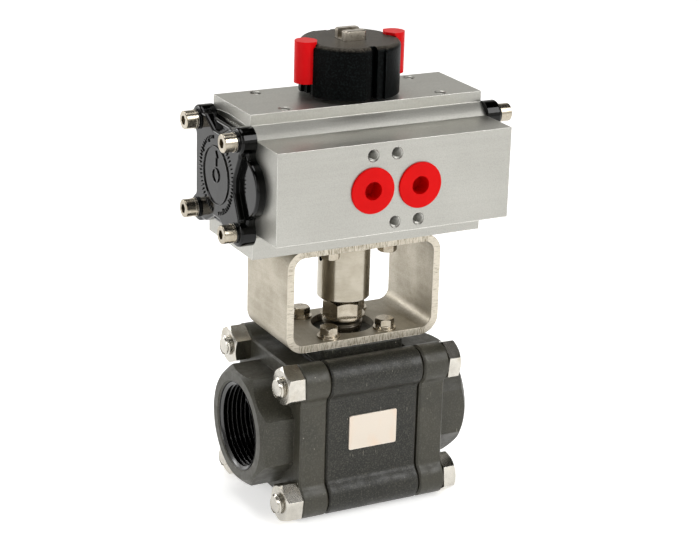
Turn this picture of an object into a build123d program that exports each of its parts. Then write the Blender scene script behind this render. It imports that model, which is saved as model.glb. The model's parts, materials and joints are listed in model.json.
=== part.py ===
from build123d import *
from math import acos, cos, pi, radians, sin, sqrt, tan
import os

# A DN32 three-piece ball valve with a double-acting pneumatic actuator on a tube bracket.
# Millimetres. X is the pipe axis and the actuator's long axis, Z is the stem axis,
# -Y is the face with the air ports, and Z = 0 is the valve's flat underside.

# ---------------------------------------------------------------- driving dimensions
FLOW_Z = 39.2            # pipe axis above the underside
PAD_Z = FLOW_Z + 40.7    # top of the valve's mounting pad
BRACKET_H = 50.0
BASE_Z = PAD_Z + BRACKET_H            # underside of the actuator
TOP_Z = BASE_Z + 66.1                 # top face of the actuator
CYL_Z = TOP_Z - 32.1                  # axis of the actuator's cylinder
SHAFT_TOP_Z = TOP_Z + 30.0            # top of the drive shaft

# ball valve
FACE_TO_FACE = 110.0
BODY_HALF = 24.0         # half length of the centre section
FLANGE_IN = 24.6         # inner and outer faces of the bolted flanges, from the centre
FLANGE_OUT = 38.0
LOBE_POS = 29.3          # body bolts from the pipe axis, both ways
LOBE_R = 9.2
WAIST = 33.4             # flat sides between the bolt lobes, from the pipe axis
FLOW_R = 16.0
BALL_R = 25.0
BALL_GAP = 0.15          # between the ball and its seats
CAVITY_R = 26.5
SEAL_R = 29.0
PIPE_AF = 54.0           # octagonal pipe ends, across flats
MOUTH_R = 26.0           # outer edge of the turned end face
CONE_R = 29.5            # wide end of the turned cone, just outside the octagon's corners
CONE_LEN = 3.2
THREAD_ROOT_R = 20.955   # G 1 1/4
THREAD_LEN = 21.0
BOLT_R = 5.0             # M10 body bolts
BOLT_END = 48.8          # tips of the bolts, from the centre
BODY_NUT_H = 8.3
NUT_AF = 17.0
PAD_HALF = 22.0

# stem
STEM_R = 6.0
COLLAR_R = 9.0
TONGUE = 7.8
STEM_SQ = 9.0
COLLAR_Z = FLOW_Z + 25.3     # underside of the blow-out collar
SHAFT_Z = FLOW_Z + 30.3      # top of the collar
PACKING_Z = FLOW_Z + 35.1
STEM_NUT_H = 6.8
GLAND_Z = PAD_Z - 2.3
SPRING_Z = PAD_Z + 4.3
NUT_Z = PAD_Z + 8.8
COUPLING_R = 12.5
COUPLING_Z = PAD_Z + 17.2
SET_SCREW_Z = PAD_Z + 37.6
PINION_SQ = 11.0

# bracket and its screws
BRACKET_W = 80.0
BRACKET_HALF_D = 21.4
BRACKET_T = 3.5
F04 = 42.0 / 2 / sqrt(2)   # screw positions on the 42 mm circle
SCREW_R = 2.5              # M5
FLAT_WASHER_T = 1.0
SPRING_WASHER_T = 1.0

# actuator
ACT_HALF = 59.0
TUBE_R = 33.5
BORE_R = 22.5
FRONT_Y = -47.8
BACK_Y = 29.5
TOP_HALF_W = 19.75
FOOT_HALF_W = 23.6
PORT_X = 12.0
PORT_R = 5.9
CAP_BOLT = 21.0          # end cap bolts from the cylinder axis, both ways
CAP_LOBE_R = 6.5
CAP_FLOOR = 63.4         # outer faces of the end cap, from the centre
CAP_FACE = 66.4
CAP_EDGE = 1.3           # rounding of the end cap's edges
CAP_BOSS = 67.4
CAP_SCREW_R = 4.25
CAP_SCREW_HEAD = 5.0
CAP_SCREW_SEAT = CAP_BOSS + SPRING_WASHER_T
TAP_R = 2.5              # root of an M5 thread

# position indicator
INDICATOR_R = 23.2
INDICATOR_LOW = TOP_Z + 1.7
INDICATOR_HIGH = TOP_Z + 25.5
INDICATOR_TURN = 4.0     # play of the indicator on the shaft, degrees
FLAT_X = 21.4            # flats that the inserts lie on, from the axis
FLAT_HALF_W = 5.25
SLOT_W = 3.0
INSERT_LOW = TOP_Z + 7.5
INSERT_HIGH = TOP_Z + 26.8

# rack and pinion
MODULE = 1.25
TEETH = 14
PITCH_R = MODULE * TEETH / 2
PITCH = pi * MODULE
RACK_ADD = 1.0
RACK_DED = 1.56
RACK_HALF_Z = 9.0
PISTON_OUT = 55.9        # outer face of a piston, valve open
PISTON_T = 11.0
LEG_TIP = 14.0           # tip of a piston's leg, past the centre
BACKLASH = 0.16

FOUR = [(1, 1), (-1, 1), (-1, -1), (1, -1)]
FLOW_YZ = Plane(origin=(0, 0, FLOW_Z), x_dir=(0, 1, 0), z_dir=(1, 0, 0))
CYL_YZ = Plane(origin=(0, 0, CYL_Z), x_dir=(0, 1, 0), z_dir=(1, 0, 0))
FRONT_PLANE = Plane(origin=(0, FRONT_Y, CYL_Z), x_dir=(1, 0, 0), z_dir=(0, -1, 0))

os.makedirs("parts", exist_ok=True)


def save(piece, name):
    """Label a finished piece and write it as one STEP file."""
    piece.label = name
    export_step(piece, f"parts/{name}.step")


def yz(base, side, x):
    """A YZ plane at distance x out along side (+1 or -1) of the X axis, facing outwards."""
    return Plane(origin=(side * x, 0, base.origin.Z), x_dir=(0, side, 0), z_dir=(side, 0, 0))


def corners(distance):
    """Four positions at the corners of a square."""
    return [(a * distance, b * distance) for a, b in FOUR]


# ---------------------------------------------------------------- ball valve
def section(plane, waist):
    """Rounded square with a bolt lobe at each corner, the valve's outline seen along the pipe."""
    with BuildSketch(plane) as outline:
        Rectangle(2 * waist, 2 * waist)
        with Locations(*corners(LOBE_POS)):
            Circle(LOBE_R)
        fillet(outline.vertices(), 5)
    return outline.sketch


def make_valve_body():
    with BuildPart() as body:
        extrude(section(FLOW_YZ.offset(-BODY_HALF), WAIST), amount=2 * BODY_HALF)
        ends = body.faces().filter_by(Axis.X).sort_by(Axis.X)
        chamfer(ends[0].edges() + ends[-1].edges(), 0.9)
        with BuildSketch(Plane.XY):
            RectangleRounded(2 * BODY_HALF - 5, 50, 2)
        extrude(amount=10)
        with BuildSketch(Plane.XY.offset(FLOW_Z + 24)):
            RectangleRounded(2 * PAD_HALF, 2 * PAD_HALF, 3)
        extrude(amount=PAD_Z - FLOW_Z - 24)
        chamfer(body.faces().sort_by(Axis.Z)[-1].edges(), 0.5)
        with BuildSketch(FLOW_YZ.offset(-BODY_HALF)):
            Circle(CAVITY_R)
        extrude(amount=2 * BODY_HALF, mode=Mode.SUBTRACT)
        for side in (-1, 1):
            with BuildSketch(yz(FLOW_YZ, side, BODY_HALF)):
                Circle(SEAL_R)
            extrude(amount=-3, mode=Mode.SUBTRACT)
        with BuildSketch(FLOW_YZ.offset(-BODY_HALF)):
            with Locations(*corners(LOBE_POS)):
                Circle(BOLT_R + 0.4)
        extrude(amount=2 * BODY_HALF, mode=Mode.SUBTRACT)
        # stem housing, from the cavity up: collar bore, shaft bore, packing bore
        for low, high, radius in ((FLOW_Z + 20, SHAFT_Z + 1.2, COLLAR_R + 0.3),
                                  (SHAFT_Z, PACKING_Z, STEM_R + 0.05),
                                  (PACKING_Z - 0.1, PAD_Z, COLLAR_R)):
            with BuildSketch(Plane.XY.offset(low)):
                Circle(radius)
            extrude(amount=high - low, mode=Mode.SUBTRACT)
        with BuildSketch(Plane.XY.offset(PAD_Z)):
            with Locations(*corners(F04)):
                Circle(SCREW_R + 0.05)
        extrude(amount=-12, mode=Mode.SUBTRACT)
    save(body.part, "valve_body")


def make_pipe_end(side, name):
    mouth_x = FACE_TO_FACE / 2
    cone_start = mouth_x - CONE_LEN
    with BuildPart() as end:
        extrude(section(yz(FLOW_YZ, side, FLANGE_IN), WAIST + 0.6), amount=FLANGE_OUT - FLANGE_IN)
        faces = end.faces().filter_by(Axis.X)
        chamfer(faces[0].edges() + faces[-1].edges(), 0.9)
        with BuildSketch(yz(FLOW_YZ, side, FLANGE_OUT - 1)):
            RegularPolygon(PIPE_AF / 2, 8, major_radius=False, rotation=22.5)
        extrude(amount=mouth_x - FLANGE_OUT + 1)
        # the turned cone trims the octagon's corners at the mouth
        with BuildSketch(Plane.XZ) as cone:
            with BuildLine():
                Polyline((side * 20, FLOW_Z), (side * 20, FLOW_Z + 60), (side * FLANGE_OUT, FLOW_Z + 60),
                         (side * FLANGE_OUT, FLOW_Z + CONE_R), (side * cone_start, FLOW_Z + CONE_R),
                         (side * mouth_x, FLOW_Z + MOUTH_R), (side * mouth_x, FLOW_Z), close=True)
            make_face()
        revolve(axis=Axis((0, 0, FLOW_Z), (1, 0, 0)), mode=Mode.INTERSECT)
        # spigot that holds the seat
        with BuildSketch(yz(FLOW_YZ, side, FLANGE_IN + 1)):
            Circle(CAVITY_R - 0.1)
        extrude(amount=-3.1)
        # bore, threaded socket and its lead-in
        with BuildSketch(yz(FLOW_YZ, side, 15)):
            Circle(FLOW_R)
        extrude(amount=45, mode=Mode.SUBTRACT)
        with BuildSketch(yz(FLOW_YZ, side, mouth_x)):
            Circle(THREAD_ROOT_R)
        extrude(amount=-THREAD_LEN, mode=Mode.SUBTRACT)
        mouth = end.edges().filter_by(GeomType.CIRCLE).filter_by(
            lambda e: abs(e.radius - THREAD_ROOT_R) < 0.01).sort_by(Axis.X)
        chamfer(mouth[-1] if side > 0 else mouth[0], 1.0)
        with BuildSketch(yz(FLOW_YZ, side, FLANGE_IN - 1)):
            with Locations(*corners(LOBE_POS)):
                Circle(BOLT_R + 0.25)
        extrude(amount=FLANGE_OUT, mode=Mode.SUBTRACT)
    save(end.part, name)


def make_seal(side, name):
    """Flat ring in the body's counterbore, touching the flange."""
    with BuildPart() as seal:
        with BuildSketch(yz(FLOW_YZ, side, FLANGE_IN)):
            Circle(SEAL_R - 0.05)
            Circle(CAVITY_R + 0.05, mode=Mode.SUBTRACT)
        extrude(amount=-(FLANGE_IN - BODY_HALF + 2.9))
    save(seal.part, name)


def make_seat(side, name):
    """Ring behind the ball with a spherical face."""
    contact = BALL_R + BALL_GAP
    inner = FLOW_R + 0.2
    outer = CAVITY_R - 0.6
    back = FLANGE_IN - 2.1
    front = back - 8.5
    middle = radians(47)
    with BuildPart() as seat:
        with BuildSketch(Plane.XZ):
            with BuildLine():
                Polyline((side * sqrt(contact**2 - inner**2), FLOW_Z + inner), (side * back, FLOW_Z + inner),
                         (side * back, FLOW_Z + outer), (side * front, FLOW_Z + outer),
                         (side * front, FLOW_Z + sqrt(contact**2 - front**2)))
                ThreePointArc((side * front, FLOW_Z + sqrt(contact**2 - front**2)),
                              (side * contact * cos(middle), FLOW_Z + contact * sin(middle)),
                              (side * sqrt(contact**2 - inner**2), FLOW_Z + inner))
            make_face()
        revolve(axis=Axis((0, 0, FLOW_Z), (1, 0, 0)))
    save(seat.part, name)


def make_ball():
    with BuildPart() as ball:
        with Locations((0, 0, FLOW_Z)):
            Sphere(BALL_R)
        with BuildSketch(FLOW_YZ.offset(-BALL_R)):
            Circle(FLOW_R)
        extrude(amount=2 * BALL_R, mode=Mode.SUBTRACT)
        chamfer(ball.edges().filter_by(GeomType.CIRCLE), 0.4)
        with BuildSketch(Plane.XY.offset(FLOW_Z + 19)):
            Rectangle(TONGUE + 0.3, 60)
        extrude(amount=10, mode=Mode.SUBTRACT)
    save(ball.part, "ball")


def make_stem():
    """Tongue in the ball's slot, blow-out collar, shaft, thread and the square for the coupling."""
    with BuildPart() as stem:
        with BuildSketch(Plane.XY.offset(FLOW_Z + 19.3)):
            Circle(COLLAR_R)
            Rectangle(TONGUE, 30, mode=Mode.INTERSECT)
        extrude(amount=6.2)
        with BuildSketch(Plane.XY.offset(COLLAR_Z)):
            Circle(COLLAR_R)
        extrude(amount=SHAFT_Z - COLLAR_Z)
        # above the nut the shank is drawn at the root of its thread
        for low, high, radius in ((SHAFT_Z, NUT_Z + STEM_NUT_H, STEM_R), (NUT_Z, NUT_Z + 9, STEM_R - 0.7)):
            with BuildSketch(Plane.XY.offset(low)):
                Circle(radius)
            extrude(amount=high - low)
        chamfer(stem.faces().sort_by(Axis.Z)[-1].edges(), 0.4)
        with BuildSketch(Plane.XY.offset(COUPLING_Z)):
            Rectangle(STEM_SQ, STEM_SQ)
            Circle(STEM_R, mode=Mode.INTERSECT)
        extrude(amount=23.2)
    save(stem.part, "stem")


def ring(name, low, height, outer, inner, edge=0.0):
    """A plain washer-like ring on the stem axis."""
    with BuildPart() as washer:
        with BuildSketch(Plane.XY.offset(low)):
            Circle(outer)
            Circle(inner, mode=Mode.SUBTRACT)
        extrude(amount=height)
        if edge:
            circles = washer.edges().filter_by(GeomType.CIRCLE)
            chamfer(circles.filter_by(lambda e: abs(e.radius - outer) < 0.01), edge)
    save(washer.part, name)


def make_packing():
    """Three chevron rings round the stem."""
    with BuildPart() as packing:
        for level in range(3):
            with BuildSketch(Plane.XY.offset(PACKING_Z + 0.05 + 1.1 * level)):
                Circle(COLLAR_R - 0.05)
                Circle(STEM_R + 0.05, mode=Mode.SUBTRACT)
            extrude(amount=1.0)
    save(packing.part, "stem_packing")


def make_disc_springs():
    """Two conical spring washers set back to back between the gland and the lock washer."""
    inner = STEM_R + 0.15
    outer = 9.6
    with BuildPart() as springs:
        with BuildSketch(Plane.XZ):
            for foot, tip, t in ((0, 1.0, 0.9), (3.5, 2.5, -0.9)):
                with BuildLine():
                    Polyline((inner, SPRING_Z + tip), (outer, SPRING_Z + foot),
                             (outer, SPRING_Z + foot + t), (inner, SPRING_Z + tip + t), close=True)
                make_face()
        revolve(axis=Axis.Z)
    save(springs.part, "disc_springs")


def hexagon(across, height, turn):
    """Hexagonal prism standing on XY, its outer corners turned off to a 30 degree cone."""
    with BuildPart() as prism:
        with BuildSketch(Plane.XY):
            RegularPolygon(across / 2, 6, major_radius=False, rotation=turn)
        extrude(amount=height)
        with BuildSketch(Plane.XZ):
            with BuildLine():
                Polyline((0, 0), (0.6 * across, 0), (0.6 * across, height - 0.066 * across),
                         (0.485 * across, height), (0, height), close=True)
            make_face()
        revolve(axis=Axis.Z, mode=Mode.INTERSECT)
    return prism.part


def make_stem_nut():
    blank = hexagon(NUT_AF, STEM_NUT_H, 48)
    with BuildPart() as nut:
        with Locations((0, 0, NUT_Z)):
            add(blank)
        with BuildSketch(Plane.XY.offset(NUT_Z)):
            Circle(STEM_R + 0.02)
        extrude(amount=7, mode=Mode.SUBTRACT)
    save(nut.part, "stem_nut")


def make_lock_washer():
    """Thin washer under the nut with one tab bent up against a flat."""
    with BuildPart() as washer:
        with BuildSketch(Plane.XY.offset(NUT_Z - 0.9)):
            Circle(10.6)
            Circle(STEM_R + 0.1, mode=Mode.SUBTRACT)
        extrude(amount=0.8)
        with BuildSketch(Plane.XY.offset(NUT_Z - 0.5)):
            with Locations(Rotation(0, 0, 78)):
                with Locations((9.2, 0)):
                    Rectangle(1.0, 5.0)
        extrude(amount=4.6)
    save(washer.part, "lock_washer")


def make_body_bolts():
    heads = [hexagon(NUT_AF, 6.6, turn) for turn in (30, 38, 24, 33)]
    with BuildPart() as bolts:
        for (a, b), head in zip(corners(LOBE_POS), heads):
            seat = Plane(origin=(FLANGE_OUT, a, FLOW_Z + b), x_dir=(0, 1, 0), z_dir=(1, 0, 0))
            with Locations(seat):
                add(head)
            # past the nut the shank is drawn at the root of its thread
            for reach, radius in ((FLANGE_OUT + BODY_NUT_H, BOLT_R), (BOLT_END, BOLT_R - 0.7)):
                with BuildSketch(seat):
                    Circle(radius)
                extrude(amount=-(FLANGE_OUT + reach))
        chamfer(bolts.faces().group_by(Axis.X)[0].edges(), 0.5)
    save(bolts.part, "body_bolts")


def make_body_nuts():
    blanks = [hexagon(NUT_AF, BODY_NUT_H, turn) for turn in (26, 34, 20, 36)]
    with BuildPart() as nuts:
        for (a, b), blank in zip(corners(LOBE_POS), blanks):
            seat = Plane(origin=(-FLANGE_OUT, a, FLOW_Z + b), x_dir=(0, -1, 0), z_dir=(-1, 0, 0))
            with Locations(seat):
                add(blank)
            with BuildSketch(seat):
                Circle(BOLT_R + 0.03)
            extrude(amount=9, mode=Mode.SUBTRACT)
    save(nuts.part, "body_nuts")


def make_nameplate():
    plate = Plane(origin=(0, -WAIST, FLOW_Z + 2.0), x_dir=(1, 0, 0), z_dir=(0, -1, 0))
    with BuildPart() as name:
        with BuildSketch(plate):
            RectangleRounded(25, 17, 0.8)
        extrude(amount=0.6)
    save(name.part, "nameplate")


# ---------------------------------------------------------------- bracket
def make_bracket():
    middle = Plane(origin=(0, BRACKET_HALF_D, PAD_Z + BRACKET_H / 2), x_dir=(1, 0, 0), z_dir=(0, -1, 0))
    with BuildPart() as bracket:
        with BuildSketch(middle):
            RectangleRounded(BRACKET_W, BRACKET_H, 9)
            RectangleRounded(BRACKET_W - 2 * BRACKET_T, BRACKET_H - 2 * BRACKET_T, 5.5, mode=Mode.SUBTRACT)
        extrude(amount=2 * BRACKET_HALF_D)
        with BuildSketch(Plane.XY.offset(PAD_Z - 1)):
            Circle(15)
            with Locations(*corners(F04)):
                Circle(SCREW_R + 0.3)
        extrude(amount=BRACKET_H + 2, mode=Mode.SUBTRACT)
    save(bracket.part, "mounting_bracket")


def make_hex_screws(name, start, direction, length, turns):
    """Four M5 hexagon head screws; start is the bearing face, direction the way the head points."""
    heads = [hexagon(8.0, 3.2, turn) for turn in turns]
    with BuildPart() as screws:
        for (a, b), head in zip(corners(F04), heads):
            seat = Plane(origin=(a, b, start), x_dir=(1, 0, 0), z_dir=(0, 0, direction))
            with Locations(seat):
                add(head)
            with BuildSketch(seat):
                Circle(SCREW_R)
            extrude(amount=-length)
    save(screws.part, name)


def make_washers(name, spots, height, outer, gap_angle=None):
    """Washers on the listed planes; a spring washer has a slanting split."""
    with BuildPart() as washers:
        for plane in spots:
            with BuildSketch(plane):
                Circle(outer)
                Circle(SCREW_R + 0.1, mode=Mode.SUBTRACT)
                if gap_angle is not None:
                    with Locations(Rotation(0, 0, gap_angle)):
                        with Locations((outer - 1, 0)):
                            Rectangle(5, 0.5, rotation=12, mode=Mode.SUBTRACT)
            extrude(amount=height)
    save(washers.part, name)


# ---------------------------------------------------------------- coupling
def make_coupling():
    with BuildPart() as coupling:
        with BuildSketch(Plane.XY.offset(COUPLING_Z)):
            Circle(COUPLING_R)
        extrude(amount=BASE_Z - 0.5 - COUPLING_Z)
        rims = coupling.faces().filter_by(Axis.Z)
        chamfer(rims[0].edges() + rims[-1].edges(), 0.8)
        with BuildSketch(Plane.XY.offset(BASE_Z - 1)):
            RectangleRounded(PINION_SQ, PINION_SQ, 1.2)
        extrude(amount=12)
        with BuildSketch(Plane.XY.offset(COUPLING_Z)):
            Rectangle(STEM_SQ + 0.1, STEM_SQ + 0.1)
        extrude(amount=23.8, mode=Mode.SUBTRACT)
        with BuildSketch(Plane.XY.offset(COUPLING_Z)):
            Circle(STEM_R + 0.1)
        extrude(amount=1.2, mode=Mode.SUBTRACT)
        with BuildSketch(Plane(origin=(-COUPLING_R - 1, 0, SET_SCREW_Z), x_dir=(0, 1, 0), z_dir=(1, 0, 0))):
            Circle(1.65)
        extrude(amount=COUPLING_R - STEM_SQ / 2 + 1.2, mode=Mode.SUBTRACT)
    save(coupling.part, "coupling")


def make_set_screw():
    tip = -STEM_SQ / 2 - 0.1
    with BuildPart() as screw:
        with BuildSketch(Plane(origin=(tip, 0, SET_SCREW_Z), x_dir=(0, 1, 0), z_dir=(-1, 0, 0))):
            Circle(1.6)
        extrude(amount=5.0)
        with BuildSketch(Plane(origin=(tip - 5, 0, SET_SCREW_Z), x_dir=(0, 1, 0), z_dir=(1, 0, 0))):
            RegularPolygon(0.75, 6, major_radius=False)
        extrude(amount=1.6, mode=Mode.SUBTRACT)
    save(screw.part, "coupling_set_screw")


# ---------------------------------------------------------------- actuator
def actuator_outline():
    """The extrusion's outline: cylinder tube, top plate, port block, back block and foot."""
    up = TOP_Z - CYL_Z
    down = CYL_Z - BASE_Z
    with BuildSketch(CYL_YZ.offset(-ACT_HALF)) as outline:
        Circle(TUBE_R)
        with Locations(((BACK_Y - 60) / 2, (up - down) / 2)):
            Rectangle(60 + BACK_Y, up + down, mode=Mode.INTERSECT)
        with Locations((0, up / 2)):
            Rectangle(2 * TOP_HALF_W, up)
        with Locations((0, -down / 2)):
            Rectangle(2 * FOOT_HALF_W, down)
        with Locations((FRONT_Y / 2, 0.5)):
            Rectangle(-FRONT_Y, 42.6)
        with Locations((BACK_Y / 2, 0)):
            Rectangle(BACK_Y, 50)
        fillet(outline.vertices().filter_by(lambda v: v.X > BACK_Y - 0.1), 2)
    return outline.sketch


def end_recess(side):
    """Shallow pocket in the end face, above and below the end cap, under a gentle arc."""
    with BuildSketch(yz(CYL_YZ, side, ACT_HALF)) as pocket:
        with BuildLine():
            ThreePointArc((-18.5, 25.5), (0, 27.1), (18.5, 25.5))
            Line((18.5, 25.5), (18.5, -25.5))
            ThreePointArc((18.5, -25.5), (0, -27.1), (-18.5, -25.5))
            Line((-18.5, -25.5), (-18.5, 25.5))
        make_face()
        Rectangle(40, 46, mode=Mode.SUBTRACT)
    return pocket.sketch


def make_actuator_body():
    with BuildPart() as body:
        extrude(actuator_outline(), amount=2 * ACT_HALF)
        with BuildSketch(CYL_YZ.offset(-ACT_HALF)):
            Circle(BORE_R)
        extrude(amount=2 * ACT_HALF, mode=Mode.SUBTRACT)
        for side in (-1, 1):
            extrude(end_recess(side), amount=-2, mode=Mode.SUBTRACT)
            with BuildSketch(yz(CYL_YZ, side, ACT_HALF)):
                with Locations(*corners(CAP_BOLT)):
                    Circle(SCREW_R + 0.05)
            extrude(amount=-16, mode=Mode.SUBTRACT)
        # shaft bores through the top plate and the foot
        with BuildSketch(Plane.XY.offset(CYL_Z)):
            Circle(10.5)
        extrude(amount=40, mode=Mode.SUBTRACT)
        with BuildSketch(Plane.XY.offset(BASE_Z)):
            Circle(12.0)
        extrude(amount=30, mode=Mode.SUBTRACT)
        with BuildSketch(Plane.XY.offset(BASE_Z)):
            with Locations(*corners(F04)):
                Circle(SCREW_R + 0.05)
        extrude(amount=11, mode=Mode.SUBTRACT)
        # tapped holes in the top plate
        with Locations(Plane.XY.offset(TOP_Z)):
            with GridLocations(80, 30, 2, 2):
                Hole(TAP_R, depth=8)
        # air ports, their passages and the tapped holes around them
        with Locations(FRONT_PLANE):
            with Locations((-PORT_X, 0), (PORT_X, 0)):
                Hole(PORT_R, depth=12)
            with Locations((-PORT_X, 4)):
                Hole(1.3, depth=28)
            with Locations((PORT_X, 0)):
                Hole(2.3, depth=17)
            with Locations((-PORT_X, 16), (0, 16), (0, -16), (PORT_X, -16)):
                Hole(TAP_R, depth=9)
        with BuildSketch(CYL_YZ.offset(-ACT_HALF)):
            with Locations((FRONT_Y + 16.5, 0)):
                Circle(2.3)
        extrude(amount=2 * ACT_HALF, mode=Mode.SUBTRACT)
        small = body.edges().filter_by(GeomType.CIRCLE).filter_by(lambda e: abs(e.radius - TAP_R) < 0.01)
        chamfer(small.filter_by(lambda e: e.center().Z > TOP_Z - 0.1 or e.center().Y < FRONT_Y + 0.1), 0.5)
    save(body.part, "actuator_body")


def cap_outline(side):
    """Four bolt lobes, hollow waists and the bulge that covers the air passage."""
    with BuildSketch(yz(CYL_YZ, side, ACT_HALF)) as outline:
        Rectangle(2 * 22.6, 2 * 24)
        with Locations(*corners(CAP_BOLT)):
            Circle(CAP_LOBE_R)
        with Locations((-side * 23.4, 0)):
            Circle(13.6)
        # growing and shrinking by the same amount rounds only the hollow corners
        offset(amount=3, kind=Kind.ARC)
        offset(amount=-3, kind=Kind.ARC)
    return outline.sketch


def cap_face(side):
    """Raised face with a V-shaped notch above, below and in front; negative first values are in front."""
    upper_half = [(-19, 3.2), (-24.6, 14), (-21, 25.2), (-12.6, 25.2), (-3.2, 20.2), (3.2, 20.2),
                  (12.6, 25.2), (21, 25.2), (22.8, 21)]
    lower_half = [(a, -b) for a, b in reversed(upper_half)]
    with BuildSketch(yz(CYL_YZ, side, CAP_FLOOR - CAP_EDGE)) as face:
        with BuildLine():
            Polyline(*[(side * a, b) for a, b in upper_half + lower_half], close=True)
        make_face()
        with Locations(*corners(CAP_BOLT)):
            Circle(CAP_LOBE_R)
        # growing and shrinking by the same amount rounds only the hollow corners
        offset(amount=2, kind=Kind.ARC)
        offset(amount=-2, kind=Kind.ARC)
    return face.sketch


def make_end_cap(side, name):
    with BuildPart() as cap:
        extrude(cap_outline(side), amount=CAP_FLOOR - ACT_HALF)
        outermost = -1 if side > 0 else 0
        fillet(cap.faces().filter_by(Axis.X).sort_by(Axis.X)[outermost].edges(), CAP_EDGE)
        extrude(cap_face(side), amount=CAP_FACE - CAP_FLOOR + CAP_EDGE)
        fillet(cap.faces().filter_by(Axis.X).sort_by(Axis.X)[outermost].edges(), CAP_EDGE)
        with BuildSketch(yz(CYL_YZ, side, CAP_FLOOR)):
            with Locations(*corners(CAP_BOLT)):
                Circle(CAP_SCREW_R + 0.5)
        extrude(amount=CAP_BOSS - CAP_FLOOR)
        # spigot into the cylinder with its seal groove
        with BuildSketch(yz(CYL_YZ, side, ACT_HALF + 0.5)):
            Circle(BORE_R - 0.1)
        extrude(amount=-3.0)
        with BuildSketch(yz(CYL_YZ, side, ACT_HALF - 0.4)):
            Circle(BORE_R + 1)
            Circle(BORE_R - 1.3, mode=Mode.SUBTRACT)
        extrude(amount=-1.5, mode=Mode.SUBTRACT)
        with BuildSketch(yz(CYL_YZ, side, ACT_HALF)):
            with Locations(*corners(CAP_BOLT)):
                Circle(SCREW_R + 0.25)
        extrude(amount=12, mode=Mode.SUBTRACT)
    save(cap.part, name)


def torus_ring(plane, major, minor, name):
    with BuildPart() as o_ring:
        with Locations(plane):
            Torus(major, minor)
    save(o_ring.part, name)


def make_cap_screws(side, name):
    """Four M5 socket head screws with a hexagon socket."""
    with BuildPart() as screws:
        for a, b in corners(CAP_BOLT):
            seat = Plane(origin=(side * CAP_SCREW_SEAT, a, CYL_Z + b),
                         x_dir=(0, 1, 0), z_dir=(side, 0, 0))
            with BuildSketch(seat):
                Circle(CAP_SCREW_R)
            head = extrude(amount=CAP_SCREW_HEAD)
            fillet(head.faces().sort_by(Axis((0, 0, 0), (side, 0, 0)))[-1].edges(), 0.5)
            with BuildSketch(seat):
                Circle(SCREW_R)
            extrude(amount=-(CAP_SCREW_SEAT - ACT_HALF + 14))
            with BuildSketch(seat.offset(CAP_SCREW_HEAD)):
                RegularPolygon(2.0, 6, major_radius=False, rotation=15)
            extrude(amount=-2.8, mode=Mode.SUBTRACT)
    save(screws.part, name)


# ---------------------------------------------------------------- pistons
def make_piston(side, name):
    """Head and one toothed leg. The leg of the left piston lies at +Y, that of the right one at -Y."""
    lay = -side
    with BuildPart() as piston:
        with BuildSketch(yz(CYL_YZ, side, PISTON_OUT)):
            Circle(BORE_R - 0.1)
        extrude(amount=-PISTON_T)
        for depth, width, cut in ((2.2, 2.3, 2.1), (5.8, 3.6, 1.1)):
            with BuildSketch(yz(CYL_YZ, side, PISTON_OUT - depth)):
                Circle(BORE_R + 1)
                Circle(BORE_R - 0.1 - cut, mode=Mode.SUBTRACT)
            extrude(amount=-width, mode=Mode.SUBTRACT)
        root = PITCH_R + RACK_DED
        with BuildSketch(Plane(origin=(side * (PISTON_OUT - PISTON_T + 1), 0, CYL_Z), x_dir=(0, 1, 0),
                               z_dir=(-side, 0, 0))):
            Circle(BORE_R - 1.6)
            with Locations((lay * (root + 10), 0)):
                Rectangle(20, 2 * RACK_HALF_Z, mode=Mode.INTERSECT)
        extrude(amount=PISTON_OUT - PISTON_T + 1 + LEG_TIP)
        flank = tan(radians(20))
        half = PITCH / 4 - BACKLASH / 2
        with BuildSketch(Plane.XY.offset(CYL_Z - RACK_HALF_Z)):
            for k in range(-6, 3):
                centre = -side * (k + 0.5) * PITCH
                with BuildLine():
                    Polyline((centre - half - flank * (RACK_DED + 0.3), lay * (root + 0.3)),
                             (centre - half + flank * RACK_ADD, lay * (PITCH_R - RACK_ADD)),
                             (centre + half - flank * RACK_ADD, lay * (PITCH_R - RACK_ADD)),
                             (centre + half + flank * (RACK_DED + 0.3), lay * (root + 0.3)), close=True)
                make_face()
        extrude(amount=2 * RACK_HALF_Z)
    save(piston.part, name)


def make_piston_band(side, name):
    with BuildPart() as band:
        with BuildSketch(yz(CYL_YZ, side, PISTON_OUT - 5.85)):
            Circle(BORE_R - 0.06)
            Circle(BORE_R - 1.15, mode=Mode.SUBTRACT)
        extrude(amount=-3.5)
    save(band.part, name)


def make_rack_pad(side, name):
    """Low-friction pad between the back of a piston's leg and the cylinder wall."""
    lay = -side
    with BuildPart() as pad:
        with BuildSketch(CYL_YZ.offset(-side * (LEG_TIP - 1))):
            Circle(BORE_R - 0.08)
            Circle(BORE_R - 1.55, mode=Mode.SUBTRACT)
            with Locations((lay * 20, 0)):
                Rectangle(8, 13, mode=Mode.INTERSECT)
        extrude(amount=side * 22)
    save(pad.part, name)


# ---------------------------------------------------------------- pinion and indicator
def pinion_teeth(plane):
    """Involute teeth, with one tooth centred on the Y axis."""
    base = PITCH_R * cos(radians(20))
    tip = PITCH_R + MODULE
    root = PITCH_R - 1.25 * MODULE
    involute_20 = tan(radians(20)) - radians(20)
    half_base = pi / (2 * TEETH) + involute_20 - 0.04 / PITCH_R
    flank = []
    for i in range(6):
        r = base + (tip - base) * i / 5
        angle = acos(base / r)
        flank.append((r, half_base - (tan(angle) - angle)))
    with BuildSketch(plane) as gear:
        Circle(root)
        for k in range(TEETH):
            middle = pi / 2 + k * 2 * pi / TEETH
            right = [(root - 0.5, half_base)] + flank
            points = [(r * cos(middle - a), r * sin(middle - a)) for r, a in right]
            points += [(r * cos(middle + a), r * sin(middle + a)) for r, a in reversed(right)]
            with BuildLine():
                Polyline(*points, close=True)
            make_face()
    return gear.sketch


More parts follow.
